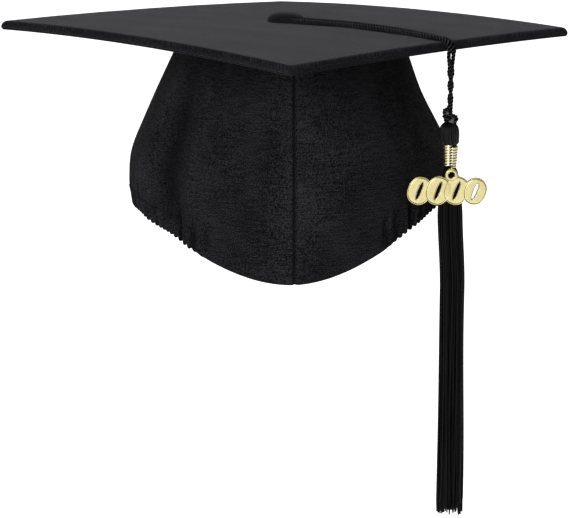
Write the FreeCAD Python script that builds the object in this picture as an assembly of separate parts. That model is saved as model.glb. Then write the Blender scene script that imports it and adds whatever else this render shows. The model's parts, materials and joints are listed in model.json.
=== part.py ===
"""Graduation cap: a square cloth-covered board on a two-panel skullcap, with a button and a swinging tassel.

Millimetres. +Z is up, -Y is the front of the cap, over the forehead, and +X is to the right from the front.
The origin is the centre of the crown lining's lower face, where the top of the head touches the cap.
The board's corners lie on the X and Y axes. The tassel hangs over the middle of the front right edge.
"""
import FreeCAD, Part
import math
import os

from FreeCAD import Vector

# ---- Driving dimensions ----
BOARD_SIDE = 241.3  # the common nine and a half inch board
CARD_THICK = 3.2
COVER_THICK = 0.6
BOARD_BOW = 4.0  # how far the corners droop below the centre
CORNER_R = 2.5
BOARD_BOTTOM_Z = 3.6  # underside of the under cover at the centre
SEAM_BEAD_R = 0.45

RIVET_R = 1.6
RIVET_FIT = 0.15  # clearance of the rivet's hole through the board
RIVET_TIP_Z = 1.0
BUTTON_R = 11.0
BUTTON_GAP = 2.4  # room for the cord loop between the board and the button
BUTTON_LIP = 0.5  # upright rim below the button's dome
BUTTON_RISE = 4.2
SHELL_THICK = 0.5
BACK_PLATE_INSET = 2.0
BUTTON_NECK_R = 2.4
NUT_R = 5.0
NUT_THICK = 1.0

STITCH_R = 0.3
STITCH_LENGTH = 3.4
STITCH_LIFT = 0.6  # how far a surface stitch stands off the cloth it follows
PIN_HOLE_R = 0.34  # needle hole round a crown stitch
CROWN_PINS = 40
CLOTH = 1.0  # skullcap cloth with its seam turnings
CROWN_HALF_WIDTH = 66.5
HEM_HALF_WIDTH = 96.5
LENGTH_EXTRA = 8.0  # the skullcap is longer than wide by twice this
CROWN_TOP_Z = 2.78
SIDE_HEM_Z = -96.0
BULGE_POWER = 1.3
POINT_ARC_R = 75.0  # arc that drops the hem to the front point
POINT_ARC_Y = -40.0
CASING_START_Y = -86.0  # the gathered part of the hem starts here and runs round the back
CASING_HEIGHT = 11.0
CASING_OUT = 1.2  # how far the gathers stand outside the skullcap's form
CASING_IN = 2.2
CASING_WALL = 0.8
FRONT_BAND_HEIGHT = 28.0
BAND_LAYER = 0.8  # thickness of the stiffener and of the facing
FLANGE_WIDTH = 8.0  # top edge of the panels, turned in over the crown
LINING_THICK = 0.8
LINING_INSET = 1.4
SEW_GAP = 0.05  # between layers of cloth that are sewn together

CORD_R = 1.1
CORD_LOOP_R = 3.75
TASSEL_AZIMUTH = -41.5  # degrees from +X, where the tassel hangs at rest
HANG_RADIUS = 124.6  # from the button's axis to the hanging cord
LEG_SPREAD = 1.5  # half the distance between the two legs
CORD_BEND_R = 3.0  # where the cord turns down over the board's edge
FOLD_Z = 1.5  # height of the fold over the board's edge
KNOT_TOP_Z = -34.3
HEAD_TOP_Z = -42.1
HEAD_BOTTOM_Z = -54.4
COIL_BOTTOM_Z = -65.6
FRINGE_BOTTOM_Z = -274.9
KNOT_PIVOT_R = 2.4  # round top of the knot that rolls under the cord's legs
KNOT_PROFILE = ((0.6, 1.2), (3.2, 3.2), (4.0, 5.2))  # radius and depth below the knot's top
KNOT_FOOT_R = 3.4
HEAD_PROFILE = ((3.0, 0.0), (5.6, 3.2), (6.2, 6.5))  # radius and depth below the head's top
COIL_R = 4.2
COIL_WIRE_R = 0.55
COIL_PITCH = 2.1
SLIM_FRINGE_R = 5.0  # fringe behind the charm
FULL_FRINGE_R = 5.4
FRINGE_FLARE = 4.0
STRAND_R = 0.65
STRANDS = 28

RING_R = 1.9
RING_WIRE_R = 0.3
RING_OUT = 5.95  # jump ring's centre in front of the tassel's axis
RING_BELOW_COIL = 2.2
CHARM_THICK = 1.2
CHARM_BOTTOM_Z = -89.9
EYE_R = 1.75
EYE_OUTER_R = 3.7
NUMERALS = 4
NUMERAL_HALF_WIDTH = 7.2
NUMERAL_SPACING = 10.2
NUMERAL_SLANT = 16.0  # degrees
SLIT_HALF_WIDTH = 1.7
SLIT_END = 3.6  # metal left above and below each slit

GAP = 0.1  # clearance between pieces that turn against each other
OUT = "parts"

# ---- Values worked out from the driving dimensions ----
HALF_DIAGONAL = BOARD_SIDE / math.sqrt(2)
DOME_R = HALF_DIAGONAL ** 2 / (2 * BOARD_BOW)
CARD_BOTTOM_Z = BOARD_BOTTOM_Z + COVER_THICK
CARD_TOP_Z = CARD_BOTTOM_Z + CARD_THICK
BOARD_TOP_Z = CARD_TOP_Z + COVER_THICK
BOW_CENTRE_Z = BOARD_TOP_Z - DOME_R  # every surface of the board is a sphere about this point
BUTTON_BASE_Z = BOARD_TOP_Z + BUTTON_GAP
NECK_R = COIL_R - COIL_WIRE_R - 0.08  # bound neck inside the coil
RING_Z = COIL_BOTTOM_Z - RING_BELOW_COIL
FAR = 160.0  # beyond the cap's outline
UP = Vector(0, 0, 1)
AZIMUTH = math.radians(TASSEL_AZIMUTH)
OUTWARD = Vector(math.cos(AZIMUTH), math.sin(AZIMUTH), 0)  # from the button to the tassel
ALONG_EDGE = Vector(-math.sin(AZIMUTH), math.cos(AZIMUTH), 0)
HANG = OUTWARD * HANG_RADIUS


def save(name, shape):
    """Writes one node as STEP, after checking that it holds only sound closed solids."""
    solids = shape.Solids
    if not solids or not all(s.isValid() and s.isClosed() and s.Volume > 0 for s in solids):
        raise RuntimeError("node %s is not made of sound solids" % name)
    Part.makeCompound(solids).exportStep(os.path.join(OUT, name + ".step"))
    print("%-22s %3d solid(s) %10.1f mm3" % (name, len(solids), sum(s.Volume for s in solids)))


def board_surface_z(distance, centre_z):
    """Height, this far from the button's axis, of the board surface that is at centre_z in the middle."""
    return BOW_CENTRE_Z + math.sqrt((centre_z - BOW_CENTRE_Z) ** 2 - distance ** 2)


def prism(side, corner_r, z_low, z_high):
    """Square prism with rounded upright edges, turned so that its corners lie on X and Y."""
    box = Part.makeBox(side, side, z_high - z_low, Vector(-side / 2, -side / 2, z_low))
    upright = [e for e in box.Edges if abs(e.BoundBox.ZLength - (z_high - z_low)) < 1e-6]
    box = box.makeFillet(corner_r, upright)
    box.rotate(Vector(0, 0, 0), UP, 45)
    return box


def bow_arc(hole_r, centre_z):
    """Arc of the board surface at centre_z, from the hole to beyond the corners, and its two ends."""
    ends = [Vector(x, 0, board_surface_z(x, centre_z)) for x in (hole_r, BOARD_SIDE / 2, BOARD_SIDE)]
    return Part.Arc(*ends).toShape(), ends[0], ends[2]


def bowed_plate(side, corner_r, bottom_z, top_z, hole_r):
    """Square plate between two of the board's surfaces, with a round hole in the middle."""
    upper, upper_in, upper_out = bow_arc(hole_r, top_z)
    lower, lower_in, lower_out = bow_arc(hole_r, bottom_z)
    outline = [upper, Part.makeLine(upper_out, lower_out), lower, Part.makeLine(lower_in, upper_in)]
    plate = Part.Face(Part.Wire(outline)).revolve(Vector(0, 0, 0), UP, 360)
    plate.rotate(Vector(0, 0, 0), UP, 45)
    return plate.common(prism(side, corner_r, bottom_z - 3 * BOARD_BOW, top_z + BOARD_BOW))


def upright_hole(radius):
    return Part.makeCylinder(radius, 2 * FAR, Vector(0, 0, -FAR))


# ---- Board ----
def build_board():
    """Card, top cover that wraps over its edges, under cover, and the thread bead of the edge seam."""
    hole_r = RIVET_R + RIVET_FIT
    card_side = BOARD_SIDE - 2 * COVER_THICK
    card_corner = CORNER_R - COVER_THICK
    save("board_card", bowed_plate(card_side, card_corner, CARD_BOTTOM_Z, CARD_TOP_Z, hole_r))
    sheet = bowed_plate(BOARD_SIDE, CORNER_R, CARD_TOP_Z, BOARD_TOP_Z, hole_r)
    skirt = bowed_plate(BOARD_SIDE, CORNER_R, CARD_BOTTOM_Z, CARD_TOP_Z, hole_r)
    skirt = skirt.cut(prism(card_side, card_corner, -FAR, FAR))
    save("board_top_cover", sheet.fuse(skirt))
    save("board_under_cover", bowed_plate(BOARD_SIDE, CORNER_R, BOARD_BOTTOM_Z, CARD_BOTTOM_Z, hole_r))
    bead_side = BOARD_SIDE + 2 * SEAM_BEAD_R
    bead_low, bead_high = CARD_BOTTOM_Z - SEAM_BEAD_R, CARD_BOTTOM_Z + SEAM_BEAD_R
    bead = bowed_plate(bead_side, CORNER_R + SEAM_BEAD_R, bead_low, bead_high, hole_r)
    save("edge_seam_thread", bead.cut(prism(BOARD_SIDE, CORNER_R, -FAR, FAR)))


# ---- Button ----
def cap_of_ball(chord_r, rise, base_z):
    """Solid dome of this chord radius and rise."""
    radius = (chord_r ** 2 + rise ** 2) / (2 * rise)
    sphere = Part.makeSphere(radius, Vector(0, 0, base_z + rise - radius))
    return sphere.common(Part.makeCylinder(chord_r + 1, rise + 1, Vector(0, 0, base_z)))


def disc(radius, height, z):
    return Part.makeCylinder(radius, height, Vector(0, 0, z))


def build_button():
    """Covered button: cloth, domed shell and back plate on a rivet, held by a push nut under the board."""
    dome_z = BUTTON_BASE_Z + BUTTON_LIP
    cloth = cap_of_ball(BUTTON_R, BUTTON_RISE, dome_z).fuse(disc(BUTTON_R, BUTTON_LIP, BUTTON_BASE_Z))
    shell = cap_of_ball(BUTTON_R - COVER_THICK, BUTTON_RISE - COVER_THICK, dome_z)
    inner_by = COVER_THICK + SHELL_THICK
    inner = cap_of_ball(BUTTON_R - inner_by, BUTTON_RISE - inner_by, dome_z)
    plate = disc(BUTTON_R - BACK_PLATE_INSET, BUTTON_LIP, BUTTON_BASE_Z)
    touch = 0.02  # the neck stands on the board without sharing its surface
    neck = disc(BUTTON_NECK_R, BUTTON_GAP + BUTTON_LIP - touch, BOARD_TOP_Z + touch)
    save("button_cloth", cloth.cut(shell).cut(plate))
    save("button_shell", shell.cut(inner))
    save("button_back", plate.fuse(neck).cut(upright_hole(RIVET_R + SEW_GAP)).removeSplitter())
    point_r, point_height = 0.9, 0.5
    head_r, head_height = 2.6 * RIVET_R, 0.8
    shank_z = RIVET_TIP_Z + point_height
    rivet = disc(RIVET_R, dome_z - shank_z, shank_z).fuse(disc(head_r, head_height, dome_z))
    rivet = rivet.fuse(Part.makeCone(point_r, RIVET_R, point_height, Vector(0, 0, RIVET_TIP_Z)))
    save("button_rivet", rivet.removeSplitter())
    nut = disc(NUT_R, NUT_THICK, BOARD_BOTTOM_Z - NUT_THICK - SEW_GAP)
    save("push_nut", nut.cut(upright_hole(RIVET_R + touch)))


# ---- Skullcap ----
def half_width(z):
    """Half the skullcap's width at this height: narrow at the crown and full at the hem."""
    share = min(1.0, max(0.0, (CROWN_TOP_Z - z) / (CROWN_TOP_Z - SIDE_HEM_Z)))
    swell = math.sin(math.pi / 2 * share) ** BULGE_POWER
    return CROWN_HALF_WIDTH + (HEM_HALF_WIDTH - CROWN_HALF_WIDTH) * swell


def oval(half_x, half_y, z):
    """Oval wire across the cap. Its seam is at the back."""
    shape = Part.Ellipse(Vector(0, 0, z), half_y, half_x).toShape()
    shape.rotate(Vector(0, 0, z), UP, 90)
    return Part.Wire([shape])


def bowl(offset, z_low=-140.0, z_high=CROWN_TOP_Z):
    """Solid skullcap form, grown or shrunk sideways by offset."""
    steps = 8
    levels = [z_high + (z_low - z_high) * i / steps for i in range(steps + 1)]
    wires = [oval(half_width(z) + offset, half_width(z) + LENGTH_EXTRA + offset, z) for z in levels]
    return Part.makeLoft(wires, True, False)


def shell(outer, inner):
    """Wall between two offsets of the form, open above and below."""
    return bowl(outer).cut(bowl(inner, -141.0, CROWN_TOP_Z + 1))


def hem_wire(rise):
    """Side view of the hem as edges from back to front, lifted by rise: level, then an arc to the point."""
    back = Vector(0, FAR, SIDE_HEM_Z + rise)
    bend = Vector(0, POINT_ARC_Y, SIDE_HEM_Z + rise)
    centre = bend - UP * POINT_ARC_R

    def on_arc(angle):
        return centre + Vector(0, -math.sin(angle), math.cos(angle)) * POINT_ARC_R

    end = math.radians(75)
    arc = Part.Arc(bend, on_arc(end / 2), on_arc(end)).toShape()
    return [Part.makeLine(back, bend), arc], back, on_arc(end)


def above_hem(rise):
    """Everything above the hem line lifted by rise."""
    edges, back, front = hem_wire(rise)
    top_front, top_back = Vector(0, front.y, FAR), Vector(0, back.y, FAR)
    corners = [front, top_front, top_back, back]
    edges += [Part.makeLine(start, end) for start, end in zip(corners, corners[1:])]
    face = Part.Face(Part.Wire(Part.__sortEdges__(edges)))
    face.translate(Vector(-FAR, 0, 0))
    return face.extrude(Vector(2 * FAR, 0, 0))


def slab(y_low, y_high):
    """Everything between two distances from the middle, front to back."""
    return Part.makeBox(2 * FAR, y_high - y_low, 4 * FAR, Vector(-FAR, y_low, -2 * FAR))


def hem_strip(outer, inner, low, high, y_low, y_high):
    """Strip that follows the hem, between two offsets of the form and two rises above the hem line."""
    return shell(outer, inner).common(above_hem(low)).cut(above_hem(high)).common(slab(y_low, y_high))


def stitch_end(angle, rise, offset):
    """Point on the hem's stitch line at an angle from the front."""
    y = -math.cos(angle) * (HEM_HALF_WIDTH + LENGTH_EXTRA + offset)
    drop = 0.0
    if y < POINT_ARC_Y:
        drop = POINT_ARC_R - math.sqrt(POINT_ARC_R ** 2 - (POINT_ARC_Y - y) ** 2)
    return Vector(math.sin(angle) * (HEM_HALF_WIDTH + offset), y, SIDE_HEM_Z + rise - drop)


def hem_stitches(count, rise, cloth_offset, y_low, y_high):
    """Row of short stitches that follows the hem line at this rise, between two distances front to back."""
    offset = cloth_offset + STITCH_R + STITCH_LIFT
    half_turn = STITCH_LENGTH / 2 / (HEM_HALF_WIDTH + LENGTH_EXTRA / 2)
    row = []
    for i in range(count):
        middle = 2 * math.pi * (i + 0.5) / count
        start = stitch_end(middle - half_turn, rise, offset)
        end = stitch_end(middle + half_turn, rise, offset)
        if y_low < min(start.y, end.y) and max(start.y, end.y) < y_high:
            row.append(Part.makeCylinder(STITCH_R, (end - start).Length, start, end - start))
    return Part.makeCompound(row)


def crown_pins(radius, z_low, z_high):
    """Upright thread pins round the crown, where the flange is sewn to its binding and lining."""
    half_x = CROWN_HALF_WIDTH - 0.6 * FLANGE_WIDTH
    pins = []
    for i in range(CROWN_PINS):
        a = 2 * math.pi * (i + 0.5) / CROWN_PINS
        foot = Vector(half_x * math.cos(a), (half_x + LENGTH_EXTRA) * math.sin(a), z_low)
        pins.append(Part.makeCylinder(radius, z_high - z_low, foot))
    return Part.makeCompound(pins)


def oval_plate(half_x, z_low, z_high):
    """Flat oval plate across the crown."""
    return Part.Face(oval(half_x, half_x + LENGTH_EXTRA, z_low)).extrude(UP * (z_high - z_low))


def build_panels():
    """Left and right panels, sewn together down the front and the back, with the crown flange turned in."""
    wall = shell(0, -CLOTH).common(above_hem(0))
    above_casing = above_hem(CASING_HEIGHT + 0.3)
    wall = wall.common(above_casing.fuse(slab(-FAR, CASING_START_Y)))
    flange_z = CROWN_TOP_Z - CLOTH
    flange = oval_plate(CROWN_HALF_WIDTH - 0.3, flange_z, CROWN_TOP_Z)
    flange = flange.cut(oval_plate(CROWN_HALF_WIDTH - FLANGE_WIDTH, flange_z, CROWN_TOP_Z))
    whole = wall.fuse(flange).cut(crown_pins(PIN_HOLE_R, 0, 2 * CROWN_TOP_Z))
    half_seam = 0.04
    right = Part.makeBox(FAR, 2 * FAR, 3 * FAR, Vector(half_seam, -FAR, -2 * FAR))
    left = Part.makeBox(FAR, 2 * FAR, 3 * FAR, Vector(-FAR - half_seam, -FAR, -2 * FAR))
    save("skullcap_panel_right", whole.common(right))
    save("skullcap_panel_left", whole.common(left))


def build_front_band():
    """Stiffener and facing inside the smooth front hem, and the row of stitches outside it."""
    band_end = CASING_START_Y - 0.6
    stiffener_out = -CLOTH - SEW_GAP
    facing_out = stiffener_out - BAND_LAYER - SEW_GAP
    stiffener_in = stiffener_out - BAND_LAYER
    stiffener = hem_strip(stiffener_out, stiffener_in, 0.8, FRONT_BAND_HEIGHT - 2, -FAR, band_end)
    save("front_stiffener", stiffener)
    facing_in = facing_out - BAND_LAYER
    save("front_facing", hem_strip(facing_out, facing_in, 0.3, FRONT_BAND_HEIGHT, -FAR, band_end))
    save("front_hem_stitches", hem_stitches(120, 4.0, 0, -FAR, band_end - 1))


def build_crown():
    """Lining under the crown, the binding between it and the flange, and the thread pins through all three."""
    lining_x = CROWN_HALF_WIDTH - LINING_INSET
    binding_low = LINING_THICK + 0.02
    binding_high = CROWN_TOP_Z - CLOTH - 0.02
    holes = crown_pins(PIN_HOLE_R, -1, 2 * CROWN_TOP_Z)
    binding = oval_plate(lining_x, binding_low, binding_high)
    binding = binding.cut(oval_plate(CROWN_HALF_WIDTH - FLANGE_WIDTH, binding_low, binding_high))
    save("crown_lining", oval_plate(lining_x, 0, LINING_THICK).cut(holes))
    save("crown_binding", binding.cut(holes))
    save("crown_stitches", crown_pins(STITCH_R, 0.1, CROWN_TOP_Z + 0.02))


def build_elastic_hem():
    """Gathered rear hem: a casing tube with a flat elastic band inside, which slides back as it stretches."""
    casing = hem_strip(CASING_OUT, -CASING_IN, 0, CASING_HEIGHT, CASING_START_Y, FAR)
    hollow_out, hollow_in = CASING_OUT - CASING_WALL, CASING_WALL - CASING_IN
    tunnel_top = CASING_HEIGHT - CASING_WALL
    tunnel = hem_strip(hollow_out, hollow_in, CASING_WALL, tunnel_top, CASING_START_Y - 1, FAR)
    slack, low = 0.3, 1.5
    high = CASING_HEIGHT - low
    band = hem_strip(hollow_out - slack, hollow_in + slack, low, high, CASING_START_Y + 0.5, FAR)
    save("elastic_casing", casing.cut(tunnel))
    save("elastic_band", band)
    save("casing_stitches", hem_stitches(150, CASING_HEIGHT - 1.2, CASING_OUT, CASING_START_Y + 1, FAR))


# ---- Cord and tassel ----
def at(radial, along, z):
    """Point from its distance out from the button, its place along the board's edge, and its height."""
    return OUTWARD * radial + ALONG_EDGE * along + UP * z


def rope(points, radius):
    """Round cord swept along straight lengths between these points, with rounded corners."""
    path = Part.makePolygon(points)
    ring = Part.Wire([Part.makeCircle(radius, points[0], points[1] - points[0])])
    return path.makePipeShell([ring], True, False, 2)


def build_cord_on_board():
    """Loop round the button's neck, with two legs side by side across the board that turn over its edge."""
    lie = CORD_R + 0.08
    bend_radial = HANG_RADIUS - CORD_BEND_R
    bend_z = board_surface_z(bend_radial, BOARD_TOP_Z) + lie + 0.15 - CORD_BEND_R

    def leg(side):
        """One leg, from its end over the board's edge back to the button."""
        run = [at(HANG_RADIUS, side * LEG_SPREAD, FOLD_Z + CORD_R + GAP)]
        for degrees in (0, 30, 60, 90):
            a = math.radians(degrees)
            radial = bend_radial + CORD_BEND_R * math.cos(a)
            run.append(at(radial, side * LEG_SPREAD, bend_z + CORD_BEND_R * math.sin(a)))
        for share in (0.76, 0.48, 0.18):
            radial = share * HANG_RADIUS
            run.append(at(radial, side * LEG_SPREAD, board_surface_z(radial, BOARD_TOP_Z) + lie))
        run.append(at(CORD_LOOP_R / 2, side * CORD_LOOP_R * math.sqrt(3) / 2, BOARD_TOP_Z + lie))
        return rope(run, CORD_R)

    loop = Part.makeTorus(CORD_LOOP_R, CORD_R, UP * (BOARD_TOP_Z + lie))
    save("cord_on_board", loop.multiFuse([leg(1), leg(-1)]))


def build_cord_drop():
    """Two mirrored legs that hang from the fold at the edge and meet above the knot."""
    near = CORD_R + 0.06  # half the distance between the legs where they touch
    top = at(HANG_RADIUS, LEG_SPREAD, FOLD_Z)
    points = [top]
    for along, drop in ((LEG_SPREAD, 4), (1.1 * near, 9), (near, 20), (near, FOLD_Z - KNOT_TOP_Z)):
        points.append(at(HANG_RADIUS, along, FOLD_Z - drop))
    socket = Part.makeSphere(KNOT_PIVOT_R + GAP, HANG + UP * KNOT_TOP_Z)
    leg = rope(points, CORD_R).fuse(Part.makeSphere(CORD_R, top)).cut(socket)
    save("cord_drop", Part.makeCompound([leg, leg.mirror(HANG, ALONG_EDGE)]))


def on_tassel_axis(shape):
    shape.translate(HANG)
    return shape


def turned(profile):
    """Solid of revolution about the tassel's axis, with its side curved through these (radius, z) points."""
    top, bottom = profile[0], profile[-1]
    side = Part.BSplineCurve()
    side.interpolate([Vector(r, 0, z) for r, z in profile])
    corners = [Vector(bottom[0], 0, bottom[1]), Vector(0, 0, bottom[1]), Vector(0, 0, top[1])]
    corners.append(Vector(top[0], 0, top[1]))
    edges = [side.toShape()] + [Part.makeLine(a, b) for a, b in zip(corners, corners[1:])]
    face = Part.Face(Part.Wire(Part.__sortEdges__(edges)))
    return on_tassel_axis(face.revolve(Vector(0, 0, 0), UP, 360))


def stacked(profile):
    """Solid of revolution about the tassel's axis, with straight sides between these (radius, z) points."""
    corners = [Vector(0, 0, profile[0][1])] + [Vector(r, 0, z) for r, z in profile]
    corners += [Vector(0, 0, profile[-1][1]), Vector(0, 0, profile[0][1])]
    face = Part.Face(Part.makePolygon(corners))
    return on_tassel_axis(face.revolve(Vector(0, 0, 0), UP, 360))


def build_knot():
    """Knot that gathers the two legs, with a round top that rolls under them."""
    side = [(radius, KNOT_TOP_Z - depth) for radius, depth in KNOT_PROFILE]
    knot = turned(side + [(KNOT_FOOT_R, HEAD_TOP_Z + GAP)])
    save("cord_knot", knot.fuse(Part.makeSphere(KNOT_PIVOT_R, HANG + UP * KNOT_TOP_Z)))


def build_head():
    """Folded head of the tassel and its bound neck."""
    side = [(radius, HEAD_TOP_Z - depth) for radius, depth in HEAD_PROFILE]
    save("tassel_head", turned(side + [(5.2, HEAD_BOTTOM_Z + 1.5), (NECK_R, HEAD_BOTTOM_Z)]))
    neck_low, neck_high = COIL_BOTTOM_Z - COIL_WIRE_R, HEAD_BOTTOM_Z - 0.04
    save("tassel_neck", stacked([(NECK_R, neck_high), (NECK_R, neck_low)]))


def build_coil():
    """Coil of wire wound round the neck."""
    height = HEAD_BOTTOM_Z - COIL_WIRE_R - GAP - COIL_BOTTOM_Z
    winding = Part.Wire(Part.makeHelix(COIL_PITCH, height, COIL_R).Edges)
    heading = Vector(0, 1, COIL_PITCH / (2 * math.pi * COIL_R))
    ring = Part.Wire([Part.makeCircle(COIL_WIRE_R, Vector(COIL_R, 0, 0), heading)])
    coil = winding.makePipeShell([ring], True, True)
    coil.rotate(Vector(0, 0, 0), UP, -90)
    coil.translate(UP * COIL_BOTTOM_Z)
    save("neck_coil", on_tassel_axis(coil))


def jump_ring(wire_r):
    return Part.makeTorus(RING_R, wire_r, HANG + Vector(0, -RING_OUT, RING_Z), Vector(1, 0, 0))


def build_fringe():
    """Core of the fringe, the ring of strands round it, and the jump ring threaded through its top."""
    top_z = COIL_BOTTOM_Z - COIL_WIRE_R - SEW_GAP
    slim_z = CHARM_BOTTOM_Z - 0.6
    full_z = slim_z - FRINGE_FLARE
    core = stacked([(NECK_R, top_z), (SLIM_FRINGE_R, RING_Z - 0.6), (SLIM_FRINGE_R, slim_z),
                    (FULL_FRINGE_R, full_z), (FULL_FRINGE_R, FRINGE_BOTTOM_Z + 6)])
    save("fringe_core", core.cut(jump_ring(RING_WIRE_R + 0.1)))
    strands = []
    for i in range(STRANDS):
        a = 2 * math.pi * (i + 0.5) / STRANDS
        foot_z = FRINGE_BOTTOM_Z + 3.0 * (1 + math.sin(2.7 * i))
        reach = FULL_FRINGE_R + STRAND_R + SEW_GAP
        foot = HANG + Vector(math.cos(a) * reach, math.sin(a) * reach, foot_z)
        strands.append(Part.makeCylinder(STRAND_R, full_z - 0.4 - foot_z, foot))
    save("fringe_strands", Part.makeCompound(strands))
    save("jump_ring", jump_ring(RING_WIRE_R))


def slanted_oval(half_x, half_z, middle, y_back, y_front):
    """Upright oval plate that leans to the right."""
    curve = Part.Ellipse(Vector(0, 0, 0), half_z, half_x).toShape()
    curve.rotate(Vector(0, 0, 0), Vector(1, 0, 0), 90)
    curve.rotate(Vector(0, 0, 0), Vector(0, 1, 0), 90 + NUMERAL_SLANT)
    curve.translate(middle + Vector(0, y_back, 0))
    return Part.Face(Part.Wire([curve])).extrude(Vector(0, y_front - y_back, 0))


def build_charm():
    """Charm of slanted numeral zeros with an eye at the top, facing the front of the cap."""
    eye_z = RING_Z - RING_R + RING_WIRE_R + 0.06 - EYE_R
    plate_top = eye_z - 1.7
    height = plate_top - CHARM_BOTTOM_Z
    through = 2 * CHARM_THICK
    numerals, slits = [], []
    for i in range(NUMERALS):
        middle = Vector((i - (NUMERALS - 1) / 2) * NUMERAL_SPACING, 0, plate_top - height / 2)
        numerals.append(slanted_oval(NUMERAL_HALF_WIDTH, height / 2, middle, 0, -CHARM_THICK))
        slits.append(slanted_oval(SLIT_HALF_WIDTH, height / 2 - SLIT_END, middle, through, -through))
    eye = Part.makeCylinder(EYE_OUTER_R, CHARM_THICK, Vector(0, -CHARM_THICK, eye_z), Vector(0, 1, 0))
    hole = Part.makeCylinder(EYE_R, 2 * through, Vector(0, -through, eye_z), Vector(0, 1, 0))
    plate = numerals[0].multiFuse(numerals[1:] + [eye])
    for opening in slits + [hole]:
        plate = plate.cut(opening)
    plate = plate.removeSplitter()
    plate.translate(HANG + Vector(0, CHARM_THICK / 2 - RING_OUT, 0))
    save("numeral_charm", plate)


os.makedirs(OUT, exist_ok=True)
build_board()
build_button()
build_panels()
build_front_band()
build_crown()
build_elastic_hem()
build_cord_on_board()
build_cord_drop()
build_knot()
build_head()
build_coil()
build_fringe()
build_charm()
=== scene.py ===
"""Looks of a graduation cap: covered board, gathered skullcap, twisted cord and tassel.

Lengths are in mm until a mesh is made."""
import json
import math

import bpy
import numpy as np
from mathutils import Matrix, Vector


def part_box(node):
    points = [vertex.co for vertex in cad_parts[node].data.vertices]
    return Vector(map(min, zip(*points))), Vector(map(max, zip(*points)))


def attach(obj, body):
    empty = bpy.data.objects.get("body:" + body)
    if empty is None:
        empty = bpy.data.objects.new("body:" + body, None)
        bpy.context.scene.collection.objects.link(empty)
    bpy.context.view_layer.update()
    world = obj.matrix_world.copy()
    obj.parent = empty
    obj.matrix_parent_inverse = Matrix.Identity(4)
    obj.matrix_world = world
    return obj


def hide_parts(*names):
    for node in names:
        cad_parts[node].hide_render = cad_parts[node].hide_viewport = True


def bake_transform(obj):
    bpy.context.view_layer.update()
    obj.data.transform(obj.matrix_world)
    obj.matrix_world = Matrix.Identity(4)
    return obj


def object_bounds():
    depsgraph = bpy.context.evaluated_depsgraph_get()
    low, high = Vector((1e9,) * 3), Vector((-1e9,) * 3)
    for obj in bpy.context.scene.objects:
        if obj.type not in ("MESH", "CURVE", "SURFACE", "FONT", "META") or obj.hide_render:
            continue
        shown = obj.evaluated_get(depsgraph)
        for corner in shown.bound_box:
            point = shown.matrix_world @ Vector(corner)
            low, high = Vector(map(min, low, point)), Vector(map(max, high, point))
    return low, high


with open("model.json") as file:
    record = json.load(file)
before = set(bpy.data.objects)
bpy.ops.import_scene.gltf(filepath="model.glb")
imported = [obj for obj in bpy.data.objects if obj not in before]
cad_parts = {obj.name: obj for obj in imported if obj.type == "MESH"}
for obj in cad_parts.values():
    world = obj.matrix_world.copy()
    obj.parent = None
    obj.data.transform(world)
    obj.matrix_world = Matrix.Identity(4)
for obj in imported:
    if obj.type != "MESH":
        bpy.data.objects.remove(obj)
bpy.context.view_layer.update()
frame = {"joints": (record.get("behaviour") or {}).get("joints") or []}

MM = 0.001
SEED = 11
RNG = np.random.default_rng(SEED)
JOINTS = {j["name"]: j for j in frame["joints"]}
RIGHT = np.array([1.0, 0.0, 0.0])
UP = np.array([0.0, 0.0, 1.0])


def joint_place(name):
    """A joint's place in mm."""
    return np.array(JOINTS[name]["pos_m"]) / MM


def node_box(name):
    """A node's lowest and highest corners in mm."""
    return [np.array(corner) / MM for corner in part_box(name)]


def node_top(name):
    return node_box(name)[1][2]


def node_bottom(name):
    return node_box(name)[0][2]


# ---- mesh helpers
def new_object(name, data):
    """Object in the scene that holds a mesh, light or camera."""
    obj = bpy.data.objects.new(name, data)
    bpy.context.scene.collection.objects.link(obj)
    return obj


class Shape:
    """Collects vertices and faces, with a cloth coordinate in mm for each vertex."""

    def __init__(self):
        self.points = []
        self.cloth = []
        self.faces = []
        self.count = 0

    def add(self, points, faces, cloth=None):
        points = np.asarray(points, float).reshape(-1, 3)
        if cloth is None:
            cloth = points
        self.points.append(points)
        self.cloth.append(np.asarray(cloth, float).reshape(-1, 3))
        self.faces += [tuple(int(i) + self.count for i in f) for f in faces]
        self.count += len(points)

    def build(self, name, nodes, material, body=None, smooth=True):
        """Makes the object that stands for some CAD nodes. Its vertices are turned from mm into metres."""
        mesh = bpy.data.meshes.new(name)
        points = np.concatenate(self.points) * MM
        mesh.from_pydata(points.tolist(), [], self.faces)
        cloth = mesh.attributes.new("cloth", "FLOAT_VECTOR", "POINT")
        cloth.data.foreach_set("vector", np.concatenate(self.cloth).astype(np.float32).ravel())
        if smooth:
            mesh.polygons.foreach_set("use_smooth", [True] * len(mesh.polygons))
        mesh.materials.append(material)
        mesh.validate()
        mesh.update()
        obj = new_object(name, mesh)
        if body:
            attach(obj, body)
        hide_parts(*nodes)
        return obj


def sheet_faces(rows, cols, wrap=False, loop=False):
    """Quads of a grid. With wrap, each row closes on itself. With loop, the last row joins the first."""
    down = np.arange(rows if loop else rows - 1)
    across = np.arange(cols if wrap else cols - 1)
    row, col = [part.ravel() for part in np.meshgrid(down, across, indexing="ij")]
    below = (row + 1) % rows
    beside = (col + 1) % cols
    corners = ((row, col), (below, col), (below, beside), (row, beside))
    return np.stack([r * cols + c for r, c in corners], 1).tolist()


def tube_faces(rows, cols):
    """Quads of a grid whose rows close on themselves, with a flat cap at each end."""
    last = (rows - 1) * cols
    caps = [range(cols), range(last + cols - 1, last - 1, -1)]
    return sheet_faces(rows, cols, wrap=True) + [list(cap) for cap in caps]


def full_turn(count):
    """Evenly spaced angles all the way round."""
    return np.linspace(0, 2 * math.pi, count, endpoint=False)


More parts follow.
